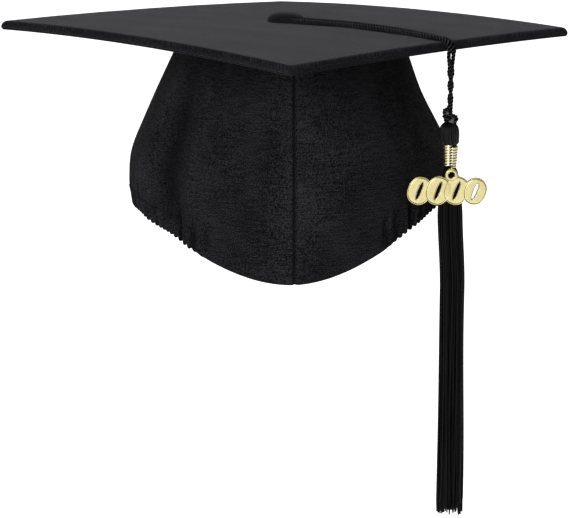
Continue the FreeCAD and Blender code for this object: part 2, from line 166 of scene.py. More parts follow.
def frames_along(path):
    """Unit tangents and two cross directions at each point of a path, carried along without twist."""
    tangents = np.gradient(path, axis=0)
    tangents /= np.linalg.norm(tangents, axis=1)[:, None]
    steep = abs(tangents[0] @ UP) > 0.9
    side = np.cross(tangents[0], RIGHT if steep else UP)
    sides = []
    for tangent in tangents:
        side = side - tangent * (side @ tangent)
        side = side / np.linalg.norm(side)
        sides.append(side)
    return tangents, np.array(sides), np.cross(tangents, sides)


def arc_lengths(path):
    """Length along a path up to each of its points."""
    steps = np.linalg.norm(np.diff(path, axis=0), axis=1)
    return np.concatenate([[0.0], np.cumsum(steps)])


def resample(path, spacing):
    """The same path with even spacing."""
    path = np.asarray(path, float)
    lengths = arc_lengths(path)
    count = max(3, int(round(lengths[-1] / spacing)) + 1)
    wanted = np.linspace(0, lengths[-1], count)
    return np.stack([np.interp(wanted, lengths, path[:, k]) for k in range(3)], 1)


def smooth_path(points, spacing, rounds=3):
    """Rounded path through a few points: corners are cut at their quarters, then it is resampled."""
    path = np.asarray(points, float)
    for _ in range(rounds):
        near = path[:-1] * 0.75 + path[1:] * 0.25
        far = path[:-1] * 0.25 + path[1:] * 0.75
        middle = np.stack([near, far], 1).reshape(-1, 3)
        path = np.concatenate([path[:1], middle, path[-1:]])
    return resample(path, spacing)


def smoothstep(value, low, high):
    """Soft step from 0 at low to 1 at high."""
    t = np.clip((np.asarray(value, float) - low) / (high - low), 0, 1)
    return t * t * (3 - 2 * t)


def hill(value, centre, reach):
    """Round hill of height 1 at the centre, which fades out over about the reach to each side."""
    return np.exp(-((value - centre) / reach) ** 2)


TONE_STEPS = 97  # tubes of one piece differ in tone, in this many steps


def add_tube(shape, path, radius, sides=8, caps=True, highlight_crest=None):
    """Round tube along a path. The radius is a number or one value for each point.

    With a direction for each point given, the cloth coordinate's Z is how far the surface faces that way, a
    mask for a painted highlight where it faces out and painted shade where it faces in."""
    path = np.asarray(path, float)
    radii = np.broadcast_to(np.asarray(radius, float), (len(path),))
    _, right, up = frames_along(path)
    angles = full_turn(sides)
    ring = np.cos(angles)[None, :, None] * right[:, None] + np.sin(angles)[None, :, None] * up[:, None]
    points = path[:, None] + ring * radii[:, None, None]
    cloth = np.zeros(points.shape)
    cloth[..., 0] = arc_lengths(path)[:, None]
    cloth[..., 1] = (angles * np.mean(radii))[None]
    cloth[..., 2] = shape.count % TONE_STEPS if highlight_crest is None else np.sum(ring * highlight_crest[:, None], -1)
    faces = tube_faces(len(path), sides) if caps else sheet_faces(len(path), sides, wrap=True)
    shape.add(points, faces, cloth)


PLIES = 3
PLY_SIDES = 7
PLY_SHARE = 0.47  # a ply's radius as a share of the rope's
LAY = 6.4  # length of rope for one full turn of its plies


def add_rope(shape, path, radius, grow=1.0):
    """Twisted rope whose plies wind round the path. It grows by a number or one value for each point."""
    ply_r = radius * PLY_SHARE
    _, right, up = frames_along(path)
    along = arc_lengths(path)
    scale = np.broadcast_to(grow, (len(path),))
    for k in range(PLIES):
        angle = 2 * math.pi * (along / LAY + k / PLIES)
        outward = np.cos(angle)[:, None] * right + np.sin(angle)[:, None] * up
        centre = path + outward * ((radius - ply_r) * scale)[:, None]
        # each ply's outward direction is the mask for its painted highlight and painted shade
        add_tube(shape, centre, ply_r * scale, PLY_SIDES, highlight_crest=outward)


def add_stitches(shape, path, radius, long, step, first=0, sides=6, tip=0.4):
    """Row of stitches along a path, each thickest in its middle. Long, step and first count path points."""
    swell = np.sin(np.linspace(tip, math.pi - tip, long))
    for start in range(first, len(path) - long, step):
        add_tube(shape, path[start:start + long], radius * swell, sides)


# ---- materials
class Look:
    """Node tree of a material or a world, with short calls for the nodes that it uses."""

    def __init__(self, owner):
        owner.use_nodes = True
        self.nodes = owner.node_tree.nodes
        self.links = owner.node_tree.links

    def feed(self, node, inputs):
        """Sets a node's inputs. Each value is a number, a colour or another node's output."""
        for key, value in inputs.items():
            if isinstance(value, bpy.types.NodeSocket):
                self.links.new(value, node.inputs[key])
            else:
                node.inputs[key].default_value = value

    def node(self, kind, output, inputs, **settings):
        """Makes a node and gives back one of its outputs."""
        made = self.nodes.new("ShaderNode" + kind)
        for key, value in settings.items():
            setattr(made, key, value)
        self.feed(made, inputs)
        return made.outputs[output]

    def cloth(self, scale=(1, 1, 1)):
        """The mesh's own cloth coordinate in mm, scaled."""
        read = self.node("Attribute", "Vector", {}, attribute_name="cloth")
        return self.node("Mapping", "Vector", {"Vector": read, "Scale": scale})

    def place(self):
        """The object's own coordinate in metres."""
        return self.node("TexCoord", "Object", {})

    def noise(self, vector, scale, detail=3.0, rough=0.55):
        inputs = {"Vector": vector, "Scale": scale, "Detail": detail, "Roughness": rough}
        return self.node("TexNoise", "Fac", inputs)

    def math(self, operation, *values):
        return self.node("Math", 0, dict(enumerate(values)), operation=operation)

    def total(self, *parts):
        """Sum of values, each taken by its share."""
        whole = 0.0
        for value, share in parts:
            whole = self.math("MULTIPLY_ADD", value, share, whole)
        return whole

    def split(self, vector):
        """A vector's X, Y and Z."""
        made = self.nodes.new("ShaderNodeSeparateXYZ")
        self.feed(made, {0: vector})
        return list(made.outputs)

    def mix(self, factor, a, b, blend="MIX"):
        inputs = {"Factor": factor, "A": a, "B": b}
        return self.node("Mix", "Result", inputs, data_type="RGBA", blend_type=blend)

    def ramp(self, factor, low, high, dark, light):
        """Colour that goes from dark to light as the factor goes from low to high."""
        made = self.nodes.new("ShaderNodeValToRGB")
        for element, place, colour in zip(made.color_ramp.elements, (low, high), (dark, light)):
            element.position = place
            element.color = (*colour, 1)
        self.feed(made, {"Fac": factor})
        return made.outputs["Color"]

    def bump(self, height, distance, strength, before=None):
        """Normal bent by a height. It bends the normal before it, if there is one."""
        inputs = {"Height": height, "Distance": distance, "Strength": strength}
        if before is not None:
            inputs["Normal"] = before
        return self.node("Bump", "Normal", inputs)


def new_look(name):
    """New material, its node tree and its shader."""
    material = bpy.data.materials.new(name)
    look = Look(material)
    return material, look, look.nodes["Principled BSDF"]


def weave_height(look, thread_mm):
    """Plain weave: warp and weft threads that go over and under."""
    x, y, _ = look.split(look.cloth([1 / thread_mm] * 3))
    warp = look.math("SINE", look.math("MULTIPLY", x, math.pi))
    weft = look.math("SINE", look.math("MULTIPLY", y, math.pi))
    return look.math("ABSOLUTE", look.math("MULTIPLY", warp, weft))


PAINTED_HOLLOW_SHADE = (0.12, 0.12, 0.13)  # painted shade: what is left of the colour in the deepest hollows


def woven(name, dark, light, thread_mm, rough=0.85, gloss=0.15, sheen=0.3, sheen_rough=0.4, weave=0.6,
          grain_size=1.0, tint=(1, 1, 1), hollow_shade=False):
    """Matt woven cloth: a fine weave, a grain of brighter threads, faint slubs and soft changes of tone.

    With hollow_shade, shade is painted into the colour: cloth in a hollow is darker, and the cloth
    coordinate's Z is how far it stands out."""
    material, look, shader = new_look(name)
    tone = look.noise(look.cloth(), 0.022)
    slub = look.noise(look.cloth((0.10, 1.3, 1)), 1.0, detail=2.0)
    grain = look.noise(look.cloth((1, 1, 0.3)), grain_size, detail=2.0, rough=0.7)
    threads = look.total((tone, 0.16), (slub, 0.19), (grain, 0.65))
    colour = look.ramp(threads, 0.44, 0.59, dark, light)
    # painted shade: folds, seams and gaps between gathers are darkened in the colour itself
    if hollow_shade:
        standing = look.math("MULTIPLY_ADD", look.split(look.cloth())[2], 0.11, 0.70)
        shade = look.ramp(standing, 0.1, 1.0, PAINTED_HOLLOW_SHADE, (1, 1, 1))
        colour = look.mix(1.0, colour, shade, "MULTIPLY")
    normal = look.bump(weave_height(look, thread_mm), 0.12 * MM, weave)
    look.feed(shader, {"Base Color": colour, "Roughness": rough, "Specular IOR Level": gloss,
                       "Sheen Weight": sheen, "Sheen Roughness": sheen_rough, "Sheen Tint": (*tint, 1),
                       "Normal": look.bump(grain, 0.6 * MM, 0.45, normal)})
    return material


def yarn(name, dark, light, rough, gloss):
    """Rayon yarn with fine fibres that run round and along it."""
    material, look, shader = new_look(name)
    strands = look.noise(look.cloth((1.1, 5.0, 1.0)), 2.2, rough=0.65)
    tone = look.noise(look.cloth(), 0.12, detail=2.0)
    colour = look.ramp(look.total((strands, 0.6), (tone, 0.4)), 0.38, 0.64, dark, light)
    look.feed(shader, {"Base Color": colour, "Roughness": rough, "Specular IOR Level": gloss,
                       "Normal": look.bump(strands, 0.15 * MM, 0.55)})
    return material


def twisted_cord(name, valley_shade, highlight_crest):
    """Yarn of a twisted rope: dark rayon with a painted highlight where each ply stands out and painted
    shade, near black, in the grooves between the plies.
    """
    material, look, shader = new_look(name)
    fibres = look.noise(look.cloth((1.6, 4.0, 0.3)), 1.6, rough=0.65)
    # painted light: the colour goes from painted shade, where a ply faces inward, to a painted highlight,
    # where it faces out
    height = look.total((look.split(look.cloth())[2], 0.75), (fibres, 0.5))
    look.feed(shader, {"Base Color": look.ramp(height, 0.92, 1.10, valley_shade, highlight_crest), "Roughness": 0.38,
                       "Specular IOR Level": 0.06, "Normal": look.bump(fibres, 0.15 * MM, 0.4)})
    return material


GROOVE = (0.13, 0.095, 0.03, 1)  # dark metal at the bottom of engraved lines
POLISH_GRAIN = 900.0  # fine scratches and uneven polish, for each metre
TONE_GRAIN = 225.0


def metal(name, dark, light, rough, engraved=False):
    """Plated or plain metal with faint changes of tone, fine scratches and uneven polish.

    With engraved, the metal is dark where the cloth coordinate's X is 1."""
    material, look, shader = new_look(name)
    tone = look.noise(look.place(), TONE_GRAIN)
    fine = look.noise(look.place(), POLISH_GRAIN, detail=4.0, rough=0.6)
    colour = look.ramp(tone, 0.35, 0.65, dark, light)
    if engraved:
        colour = look.mix(look.split(look.cloth())[0], colour, GROOVE)
    look.feed(shader, {"Base Color": colour, "Metallic": 1.0, "Normal": look.bump(fine, 0.04 * MM, 0.15),
                       "Roughness": look.math("MULTIPLY_ADD", fine, rough * 0.6, rough * 0.7)})
    return material


def paper_board(name):
    """Grey-brown card with short fibres."""
    material, look, shader = new_look(name)
    fibres = look.noise(look.cloth((0.6, 2.4, 1)), 1.0, detail=5.0, rough=0.7)
    colour = look.ramp(fibres, 0.35, 0.65, (0.30, 0.25, 0.19), (0.46, 0.39, 0.30))
    look.feed(shader, {"Base Color": colour, "Roughness": 0.9, "Normal": look.bump(fibres, 0.2 * MM, 0.5)})
    return material


CLOTH_TOP = woven("board_cloth", (0.0020, 0.0020, 0.0030), (0.0285, 0.0280, 0.0365), 0.42, sheen=0.24,
                  sheen_rough=0.3, grain_size=1.2, tint=(0.94, 0.93, 1.0))
# the skullcap cloth has painted shade in its folds, seams and gathers
CLOTH_CAP = woven("cap_cloth", (0.0060, 0.0060, 0.0070), (0.0760, 0.0750, 0.0830), 0.40, sheen=0.02,
                  gloss=0.03, grain_size=1.6, hollow_shade=True)
CLOTH_LINING = woven("lining_cloth", (0.012, 0.012, 0.014), (0.024, 0.024, 0.027), 0.30, rough=0.6,
                     sheen=0.25)
CLOTH_STIFF = woven("stiffener", (0.03, 0.03, 0.034), (0.06, 0.06, 0.066), 0.8, rough=0.9, sheen=0.1)
ELASTIC = woven("elastic", (0.012, 0.012, 0.013), (0.035, 0.035, 0.038), 0.9, sheen=0.2, weave=1.0)
THREAD = yarn("thread", (0.005, 0.005, 0.006), (0.014, 0.014, 0.016), rough=0.8, gloss=0.1)
# the cord's colours are painted shade in the grooves between plies and a painted highlight where they stand
# out
CORD = twisted_cord("cord", (0.0003, 0.0003, 0.0005), (0.200, 0.198, 0.212))
FRINGE = yarn("fringe", (0.0010, 0.0010, 0.0014), (0.0062, 0.0062, 0.0076), rough=0.45, gloss=0.13)
HEAD_YARN = yarn("head", (0.0006, 0.0006, 0.0009), (0.0120, 0.0120, 0.0140), rough=0.32, gloss=0.22)
GOLD = metal("charm", (0.92, 0.79, 0.38), (1.0, 0.90, 0.50), 0.30, engraved=True)
GOLD_COIL = metal("coil_wire", (0.86, 0.78, 0.50), (1.0, 0.94, 0.70), 0.26)
STEEL = metal("steel", (0.42, 0.42, 0.43), (0.60, 0.60, 0.61), 0.32)
CARD = paper_board("card")

# ---- board
SIDE = 241.3
HALF_DIAGONAL = SIDE / math.sqrt(2)
BOARD_Z = node_top("board_top_cover")
BOARD_THICK = 5.4
CORNER_ROUND = 2.4
LEAST_ROUND = 0.3
TOP_ROUND = 3.2
BOW_DROP = 4.68  # how far the corners droop on average
BOW_SADDLE = 1.78  # how far the left and right corners lie above that average
BOW_TWIST = 3.28  # lifts two opposite edges and lowers the others, by a quarter of this at their middles
BOW_LEAN = -1.9  # the right corner sits lower than the left one
BOW_NOD = 0.42  # the front corner sits lower than the back one
DIMPLE = 1.3  # how far the button draws the cloth and card down at the centre
DIMPLE_REACH = 34.0
SEAM = BOARD_THICK - 0.9  # depth of the edge seam below the top
SIDE_STEPS = 120
CORNER_STEPS = 10


def board_bow(x, y):
    """Height of the board's top above or below its centre."""
    u, v = x / HALF_DIAGONAL, y / HALF_DIAGONAL
    dimple = DIMPLE * np.exp(-(x * x + y * y) / DIMPLE_REACH ** 2)
    bow = -BOW_DROP * (u * u + v * v) + BOW_SADDLE * (u * u - v * v) + BOW_TWIST * u * v
    return bow + BOW_LEAN * u + BOW_NOD * v - dimple


def direction(angle):
    return np.array([math.cos(angle), math.sin(angle)])


def square_ring(half, corner):
    """Plan loop of a square with rounded corners on the X and Y axes. Its point count is always the same."""
    eighth = math.pi / 4
    reach = (half - corner) * math.sqrt(2)
    points = []
    for middle in full_turn(4):
        for a in np.linspace(-eighth, eighth, CORNER_STEPS):
            points.append(reach * direction(middle) + corner * direction(middle + a))
        begin = points[-1]
        end = reach * direction(middle + 2 * eighth) + corner * direction(middle + eighth)
        points += [begin * (1 - t) + end * t for t in np.linspace(0, 1, SIDE_STEPS + 2)[1:-1]]
    return np.array(points)


def corner_distance(ring):
    """How far each point of a ring is from the nearest corner, along the edge."""
    reach = np.abs(ring).max(1)
    return np.clip(HALF_DIAGONAL - reach, 0, None) * math.sqrt(2)


def board_sheet(name, node, profile, material, ripple=0.0, tuck=0.0):
    """Sheet on the board from (inset, depth below the top) rings. The last ring is closed at the centre.

    The ripple is the height of its waves in mm, and the tuck is how full it is at the corners."""
    rows, cloth = [], []
    for inset, depth in profile:
        inside = max(0.0, inset)
        ring = square_ring(SIDE / 2 - inset, max(LEAST_ROUND, CORNER_ROUND - inside))
        fullness = 0.004 * tuck * np.exp(-inside / 2.0) * hill(corner_distance(ring), 0, 3.0)
        x, y = (ring * (1 + fullness)[:, None]).T
        wave = ripple * np.sin(x * 0.11 + y * 0.045) * np.sin(y * 0.09 - x * 0.02) * min(1.0, inside / 20)
        rows.append(np.stack([x, y, BOARD_Z + board_bow(x, y) - depth + wave], 1))
        u, v = (x + y) / math.sqrt(2), (y - x) / math.sqrt(2)
        cloth.append(np.stack([u + depth, v + depth, 0 * x], 1))
    count = len(rows[0])
    last, centre = (len(rows) - 1) * count, len(rows) * count
    fan = [(last + i, centre, last + (i + 1) % count) for i in range(count)]
    middle = np.array([[0, 0, BOARD_Z + board_bow(0, 0) - profile[-1][1]]])
    shape = Shape()
    shape.add(np.concatenate(rows + [middle]), sheet_faces(len(rows), count, wrap=True) + fan,
              np.concatenate(cloth + [middle * 0]))
    shape.build(name, [node], material, "cap")


def rounded_edge(radius, count):
    """Quarter round from the upright edge to the top face, as (inset, depth)."""
    angles = np.linspace(math.pi / 2, 0, count)
    return [(radius * (1 - math.sin(a)), radius * (1 - math.cos(a))) for a in angles]


def inner_rings(first, count, depth):
    """Rings from an inset to near the centre, at one depth."""
    return [(inset, depth) for inset in np.linspace(first, SIDE / 2 - 0.6, count)]


def build_board():
    """Top cover, under cover, seam threads and the card inside."""
    top = [(0.75, SEAM + 0.05), (0.3, SEAM), (0.03, SEAM - 0.35)]
    top += [(-0.06, depth) for depth in np.linspace(SEAM - 0.8, TOP_ROUND + 0.3, 5)]
    top += rounded_edge(TOP_ROUND, 9) + inner_rings(TOP_ROUND + 1.2, 44, 0.0)
    board_sheet("board_top_cover_cloth", "board_top_cover", top, CLOTH_TOP, ripple=0.3,
                tuck=1.0)
    under = [(0.7, SEAM - 0.05), (0.25, SEAM + 0.05), (0.05, SEAM + 0.3), (0.12, SEAM + 0.6)]
    under += [(0.5, BOARD_THICK - 0.12), (1.1, BOARD_THICK - 0.02)] + inner_rings(2.0, 40, BOARD_THICK)
    board_sheet("board_under_cover_cloth", "board_under_cover", under, CLOTH_TOP, ripple=0.1)
    card = [(3.0, BOARD_THICK - 0.7), (2.2, BOARD_THICK - 0.75), (2.0, BOARD_THICK - 1.2), (2.0, 1.5)]
    card += [(2.6, 0.75)] + inner_rings(3.6, 10, 0.72)
    board_sheet("board_card_sheet", "board_card", card, CARD)
    ring = square_ring(SIDE / 2 + 0.06, CORNER_ROUND)
    x, y = np.concatenate([ring, ring[:1]]).T
    edge = resample(np.stack([x, y, BOARD_Z + board_bow(x, y) - SEAM], 1), 0.55)
    threads = Shape()
    add_stitches(threads, edge, 0.24, long=6, step=7, tip=0.35)
    threads.build("edge_seam_stitches", ["edge_seam_thread"], THREAD, "cap")


# ---- skullcap
CROWN_WIDTH = 64.2
FULL_WIDTH = 97.3
SPREAD = 0.45  # how fast the panels spread below the crown
SHOULDER = 0.5  # how sharply they turn upright
CAP_SHIFT = 3.7  # the skullcap is sewn a little to the right of the board's centre
LENGTH_EXTRA = 7.0  # its half length is this much more than its half width
CROWN_Z = 3.2
HEM_Z = -98.5
HEM_TILT = 0.035  # the hem hangs lower on the left
HEM_BACK_LIFT = 3.0
HEM_SAG = 1.3  # the gathers hang a little at the left temple
SAG_TURN = -0.95
POINT_R = 99.3  # radius of the hem's drop to the front point
POINT_Y = -30.0  # where that drop starts
GATHER_START = math.radians(33.0)
CASING_TALL = 10.6
GATHER_LENGTH = 4.1
HEM_TUCKS = (-0.76, -0.64, -0.55, 0.58, 0.66, 0.78)  # angles of the deepest tucks above the hem
TUCK_WIDE = 0.024
TUCK_DEEP = 2.5
COLUMNS = 620  # of points, for each panel
WAIST = 2.7  # how far the right side is drawn in
WAIST_Z = -34.0
WAIST_REACH = 21.0
SEAM_RIDGE = 1.7  # how far the front and back seams stand out
RIDGE_REACH = 15.0
SEAM_VALLEY = 2.3  # depth of the narrow valley along the seam itself


def half_width(z):
    """Half the skullcap's width by height: a cone that turns upright at a soft shoulder."""
    cone = CROWN_WIDTH + SPREAD * (CROWN_Z - z)
    return FULL_WIDTH - np.log(1 + np.exp(-SHOULDER * (cone - FULL_WIDTH))) / SHOULDER


def hem_height(turn):
    """Height of the hem at an angle from the front: level round the back, dropping to the front point."""
    y = -(FULL_WIDTH + LENGTH_EXTRA) * np.cos(turn)
    x = FULL_WIDTH * np.sin(turn)
    ahead = np.clip(POINT_Y - y, 0, POINT_R * 0.97)
    drop = POINT_R - np.sqrt(POINT_R ** 2 - ahead ** 2)
    sag = HEM_SAG * hill(turn, SAG_TURN, 0.28)
    return HEM_Z + HEM_TILT * x + HEM_BACK_LIFT * smoothstep(y, 0, 70) - drop - sag


def gather_share(turn):
    """0 along the smooth front hem and 1 where the elastic gathers it."""
    return smoothstep(np.abs(turn), GATHER_START, GATHER_START + 0.16)


def edge_length(turn):
    return turn * (FULL_WIDTH + LENGTH_EXTRA / 2)


def gather_wave(s):
    """Uneven wave of the smallest gathers by length along the hem."""
    return np.sin(s * 2 * math.pi / GATHER_LENGTH + 2.2 * np.sin(s / 7.3) + 0.6 * np.sin(s / 3.7))


def fade(rise, start, reach, power):
    """1 up to a height above the hem, then fading out over about the reach."""
    return np.exp(-(np.clip(rise - start, 0, None) / reach) ** power)


def pleats(turn, rise):
    """Outward swing of the gathered cloth by angle and height above the hem.

    Small pleats merge into wider folds higher up."""
    s = edge_length(turn)
    uneven = 0.65 + 0.35 * np.sin(s / 9.0 + 1.3 * np.sin(s / 23.0))
    middle = np.sin(s * 2 * math.pi / 8.3 + 1.9 * np.sin(s / 11.0 + 1.0))
    wide = np.sin(s * 2 * math.pi / 27.0 + 1.4 * np.sin(s / 31.0 + 2.0))
    swing = 0.60 * gather_wave(s) * fade(rise, 5.0, 7.0, 1.3)
    swing = swing + 0.62 * middle * uneven * smoothstep(rise, 4.0, 12.0) * fade(rise, 12.0, 12.0, 1.4)
    swing = swing + 0.45 * wide * uneven * smoothstep(rise, 8.0, 26.0) * fade(rise, 26.0, 26.0, 1.6)
    tuck = sum(hill(turn, angle, TUCK_WIDE) for angle in HEM_TUCKS)
    return swing * gather_share(turn) - TUCK_DEEP * tuck * hill(rise, 11.0, 8.0)


FOLDS = (  # angle, half width in radians, depth in mm, lean
    (-0.90, 0.12, -3.7, 0.05),
    (-1.10, 0.09, 1.5, 0.02),
    (-0.66, 0.07, 1.2, 0.0),
    (0.70, 0.09, -0.9, 0.10),
    (0.98, 0.10, -1.3, -0.02),
    (1.22, 0.08, 0.9, 0.0),
    (-2.2, 0.16, -1.6, 0.05),
    (2.45, 0.18, -1.5, -0.04),
    (-1.75, 0.12, 1.0, 0.02),
    (1.8, 0.12, 1.0, -0.02),
)


def soft_folds(turn, depth_share):
    """Large soft folds that start below the crown and run down to the gathers."""
    strength = smoothstep(depth_share, 0.02, 0.45) * (1 - 0.55 * smoothstep(depth_share, 0.75, 1.0))
    folds = sum(deep * hill(turn, angle + lean * depth_share, width) for angle, width, deep, lean in FOLDS)
    swell = 0.7 * np.sin(turn * 4.3 + 0.6) * np.sin(depth_share * 4.0 + turn)
    return folds * strength + swell * smoothstep(depth_share, 0.05, 0.4)


def seam_dip(turn):
    """Soft ridge with a narrow valley where the two panels are sewn together at the front and back."""
    away = np.minimum(np.abs(turn), np.abs(np.abs(turn) - math.pi)) * FULL_WIDTH
    return SEAM_RIDGE * np.exp(-away / RIDGE_REACH) - SEAM_VALLEY * hill(away, 0, 1.0)


def cap_swing(turn, z):
    """How far folds, seams and pleats push the skullcap's cloth outward."""
    hem = hem_height(turn)
    depth_share = np.clip((CROWN_Z - z) / (CROWN_Z - hem), 0, 1.2)
    swing = soft_folds(turn, depth_share) + seam_dip(turn) * smoothstep(depth_share, 0.0, 0.12)
    return swing + pleats(turn, z - hem)


def oval_point(half, turn, z):
    """Point at an angle from the front, on an oval about the skullcap's middle with this half width."""
    x = half * np.sin(turn) + CAP_SHIFT
    y = -(half + LENGTH_EXTRA) * np.cos(turn)
    return np.stack([x, y, z + 0 * x], -1)


def cap_point(turn, z, offset=0.0):
    """Point on the skullcap's outer cloth, moved outward by offset."""
    rise = np.clip(z - hem_height(turn), 0, None)
    pull_in = 1.6 * hill(rise, 0, 7.0) * gather_share(turn)
    waist = WAIST * hill(z, WAIST_Z, WAIST_REACH) * np.clip(np.sin(turn), 0, 1)
    out = cap_swing(turn, z) - pull_in - waist + offset
    return oval_point(half_width(z) + out, turn, z)


def under_board(turn):
    """Height where the skullcap's top edge meets the underside of the board."""
    x, y, _ = oval_point(CROWN_WIDTH, turn, 0.0).T
    return BOARD_Z + board_bow(x, y) - BOARD_THICK + 0.25


def cap_sheet(turns, low_rise, rows, offset, high=None, power=0.75):
    """Grid of skullcap points and cloth coordinates, down to low_rise above the hem.

    It starts at high above the hem, or else at the board. A power under 1 puts more rows near the hem."""
    top = under_board(turns) if high is None else hem_height(turns) + high
    low = hem_height(turns) + low_rise
    z = top + (low - top) * np.linspace(0, 1, rows)[:, None] ** power
    turn = np.broadcast_to(turns, z.shape)
    # the cloth coordinate's Z is the outward swing, from which the skullcap cloth paints shade into its folds
    # and seams
    cloth = np.stack([edge_length(turn), z, cap_swing(turn, z)], -1)
    return cap_point(turn, z, offset), cloth


TINY = 1e-9


def add_cloth(shape, points, cloth, thick):
    """Closed sheet: the grid, a copy moved inward by its thickness, and the rims that join them."""
    rows, cols = points.shape[:2]
    normal = np.cross(np.gradient(points, axis=1), np.gradient(points, axis=0))
    normal /= np.linalg.norm(normal, axis=-1)[..., None] + TINY
    if np.mean(np.sum((normal * points)[..., :2], -1)) < 0:
        normal = -normal
    inner = points - normal * thick
    both = np.concatenate([points, inner[::-1]])
    shape.add(both, sheet_faces(rows * 2, cols, loop=True), np.concatenate([cloth, cloth[::-1]]))
    for k in (0, cols - 1):
        rim = np.stack([points[:, k], inner[:, k]], 1)
        faces = [face[::-1] if k else face for face in sheet_faces(rows, 2)]
        shape.add(rim, faces, np.stack([cloth[:, k]] * 2, 1))


def stretches(obj):
    """Bakes the object's transform into its mesh."""
    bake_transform(obj)


def build_panels():
    """Left and right panels, each from the front seam to the back seam."""
    for name, low, high in (("left", -math.pi, 0.0), ("right", 0.0, math.pi)):
        turns = np.linspace(low, high, COLUMNS)
        points, cloth = cap_sheet(turns, CASING_TALL * gather_share(turns), 58, 0.0)
        shape = Shape()
        add_cloth(shape, points, cloth, 0.8)
        stretches(shape.build("skullcap_cloth_" + name, ["skullcap_panel_" + name], CLOTH_CAP))


CASING_WIDE = 3.0
CASING_ROUND = 1.3
CASING_OUT = 0.25  # how far the casing stands out past the panels
CASING_COLUMNS = 1000
# The elastic's section, as (out from the cloth, up from the hem)
BAND = ((-0.9, 2.2), (-0.9, 8.6), (-1.9, 8.6), (-1.9, 2.2))


def casing_section(tall):
    """Rounded oblong from its outer top corner downwards, as (out from the cloth, up from the hem)."""
    outer, inner = CASING_OUT - CASING_ROUND, CASING_OUT + CASING_ROUND - CASING_WIDE
    high, low = tall - CASING_ROUND, CASING_ROUND
    section = []
    for out, up, first in ((outer, high, 90), (outer, low, 0), (inner, low, -90), (inner, high, -180)):
        for degrees in np.linspace(first, first - 90, 5):
            section.append(np.array([out, up]) + CASING_ROUND * direction(math.radians(degrees)))
    return np.array(section)


def build_casing():
    """Gathered tube at the hem, with the elastic band and its stitches."""
    sweep = np.linspace(GATHER_START + 0.005, 2 * math.pi - GATHER_START - 0.005, CASING_COLUMNS)
    turns = np.where(sweep > math.pi, sweep - 2 * math.pi, sweep)
    hem = hem_height(turns)
    s = edge_length(turns)
    scallop = -0.7 * (1 + 0.3 * np.sin(s / 6.1)) * gather_wave(s) * gather_share(turns)
    tall = CASING_TALL + 0.5
    section = casing_section(tall)
    grid = np.stack([cap_point(turns, hem + up + scallop * (1 - up / tall), out) for out, up in section], 1)
    cloth = np.zeros(grid.shape)
    cloth[..., 0] = edge_length(sweep)[:, None]
    cloth[..., 1] = arc_lengths(section)
    # the cloth coordinate's Z is the pleats' swing, from which the cloth paints shade between the gathers
    cloth[..., 2] = (pleats(turns, CASING_TALL) * 1.6 - 0.4)[:, None]
    shape = Shape()
    shape.add(grid, tube_faces(*grid.shape[:2]), cloth)
    stretches(shape.build("elastic_casing_cloth", ["elastic_casing"], CLOTH_CAP))

    band = Shape()
    grid = np.stack([cap_point(turns, hem + up, out) for out, up in BAND], 1)
    band.add(grid, tube_faces(*grid.shape[:2]))
    stretches(band.build("elastic_band_tape", ["elastic_band"], ELASTIC, smooth=False))

    threads = Shape()
    for out in (0.42, -3.0):
        line = cap_point(turns, hem + CASING_TALL - 0.9, out)
        add_stitches(threads, line, 0.2, long=5, step=6, first=2, sides=5)
    stretches(threads.build("casing_stitch_line", ["casing_stitches"], THREAD))


def build_front_band():
    """Smooth front hem: stiffener and facing inside, with a stitch line outside."""
    reach = GATHER_START - 0.02
    turns = np.linspace(-reach, reach, 160)
    for name, node, offset, low, high, material, slot in (
            ("front_stiffener_layer", "front_stiffener", -1.0, 1.2, 25.0, CLOTH_STIFF, "stiffener"),
            ("front_facing_cloth", "front_facing", -1.75, 0.4, 28.0, CLOTH_CAP, "cap_cloth")):
        points, cloth = cap_sheet(turns, low, 30, offset, high=high, power=1.0)
        shape = Shape()
        add_cloth(shape, points, cloth, 0.6)
        shape.build(name, [node], material, "cap")
    threads = Shape()
    line = cap_point(turns, hem_height(turns) + 9.5, 0.05)
    add_stitches(threads, resample(line, 0.5), 0.16, long=6, step=7)
    threads.build("front_hem_stitch_line", ["front_hem_stitches"], THREAD, "cap")


LINING_WIDTH = CROWN_WIDTH - 0.9
LINING_THICK = 0.5
CROWN_STITCHES = 130
STITCH_LONG = 2.2


